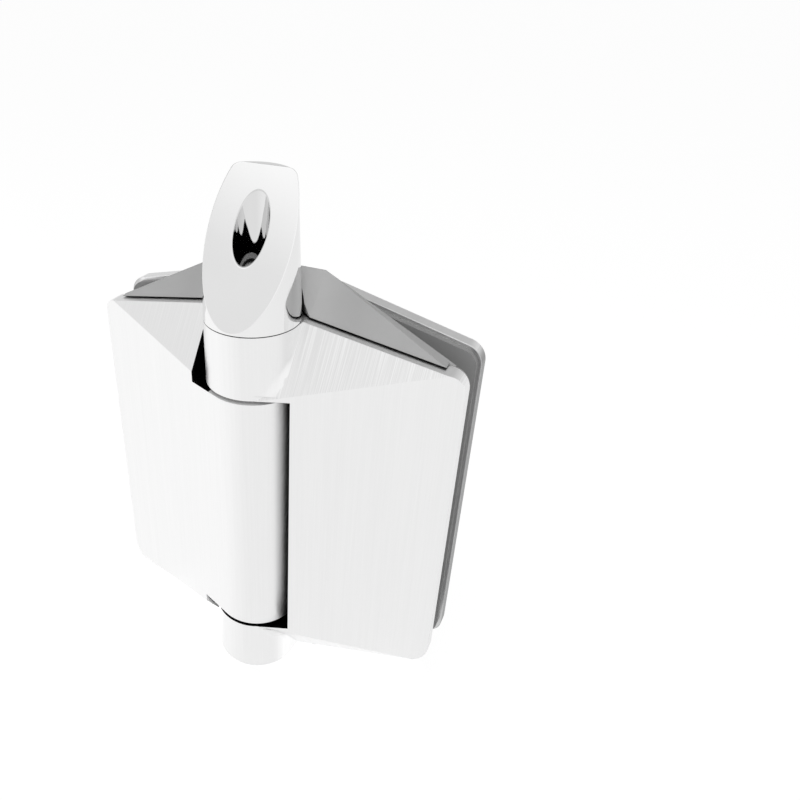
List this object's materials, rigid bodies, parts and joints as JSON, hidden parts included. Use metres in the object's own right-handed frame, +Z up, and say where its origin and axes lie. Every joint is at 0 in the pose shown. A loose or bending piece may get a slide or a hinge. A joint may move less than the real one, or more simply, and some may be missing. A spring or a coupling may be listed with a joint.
{
  "type": "glass-to-glass gate hinge",
  "caption": "Self-closing hinge with faceted steel leaves on a barrel, grey inserts and back plates that clamp two glass panels, and a slanted cap.",
  "frame": {"origin": "on the barrel axis at its mid height", "axes": "+Z up along the barrel, +X to the fixed leaf, +Y to the glass behind the barrel"},
  "size_m": [0.1296, 0.046, 0.1936],
  "materials": {
    "brushed_stainless": "fine upright brushing",
    "polished_stainless": "polished",
    "grey_moulding": "fine matt moulding",
    "dark_gasket": "matt rubber sheet",
    "screw_steel": "turned",
    "spring_steel": "oiled",
    "grey_bush": "turned",
    "white_nylon": "plain"
  },
  "bodies": {
    "fixed": {"fixed_leaf": "brushed_stainless", "fixed_insert": "grey_moulding", "fixed_front_gasket": "dark_gasket", "fixed_back_gasket": "dark_gasket", "fixed_back_plate": "brushed_stainless", "fixed_clamp_screws": "screw_steel", "fixed_glass_sleeves": "white_nylon", "slope_cap": "polished_stainless", "top_pivot": "screw_steel", "cam_spindle": "screw_steel", "spindle_pin": "screw_steel", "bottom_plug": "screw_steel"},
    "gate": {"gate_leaf": "brushed_stainless", "gate_insert": "grey_moulding", "gate_front_gasket": "dark_gasket", "gate_back_gasket": "dark_gasket", "gate_back_plate": "brushed_stainless", "gate_clamp_screws": "screw_steel", "gate_glass_sleeves": "white_nylon", "bushes": "grey_bush", "closing_spring": "spring_steel", "piston_key": "screw_steel"},
    "piston": {"cam_piston": "screw_steel"},
    "adjuster": {"adjuster_screw": "screw_steel"}
  },
  "joints": [
    {"name": "gate_swing", "type": "hinge", "parent": "fixed", "child": "gate", "pos_m": [0, 0, 0], "axis": [0, 0, 1], "range_deg": [0, 90], "stiffness_Nm_per_rad": 1.5, "springref_deg": -20.05},
    {"name": "piston_slide", "type": "slide", "parent": "gate", "child": "piston", "axis": [0, 0, 1], "range_m": [0, 0.0101], "deforming": ["closing_spring"]},
    {"name": "adjuster_turn", "type": "hinge", "parent": "fixed", "child": "adjuster", "pos_m": [0, 0, 0.062], "axis": [0, 0, 1], "range_deg": [-180, 180]}
  ],
  "couplings": [
    {"joint": "piston_slide", "follows": "gate_swing", "m_per_rad": 0.0063662}
  ]
}
